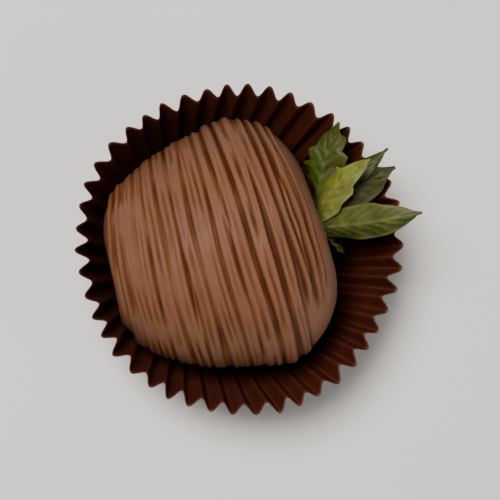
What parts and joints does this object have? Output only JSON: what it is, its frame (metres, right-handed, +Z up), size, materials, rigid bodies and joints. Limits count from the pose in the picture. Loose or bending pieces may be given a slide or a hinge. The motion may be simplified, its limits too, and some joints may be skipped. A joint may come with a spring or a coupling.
{
  "type": "chocolate coated strawberry",
  "caption": "Large strawberry in milk chocolate with fine drizzled strands and a green leafy crown, lying on its side in a fluted brown paper case.",
  "frame": {"origin": "middle of the underside of the paper case's flat base", "axes": "+Z up out of the case; +X along the berry's axis seen from above, from its blunt tip towards its green crown; +Y across the berry"},
  "size_m": [0.0526, 0.0516, 0.0349],
  "materials": {
    "milk_chocolate": "satin milk chocolate",
    "leaf_green": "soft matt leaf",
    "brown_paper": "dark brown greaseproof paper, soft sheen"
  },
  "bodies": {
    "root": {"chocolate_berry": "milk_chocolate", "calyx": "leaf_green", "paper_case": "brown_paper"}
  },
  "joints": []
}
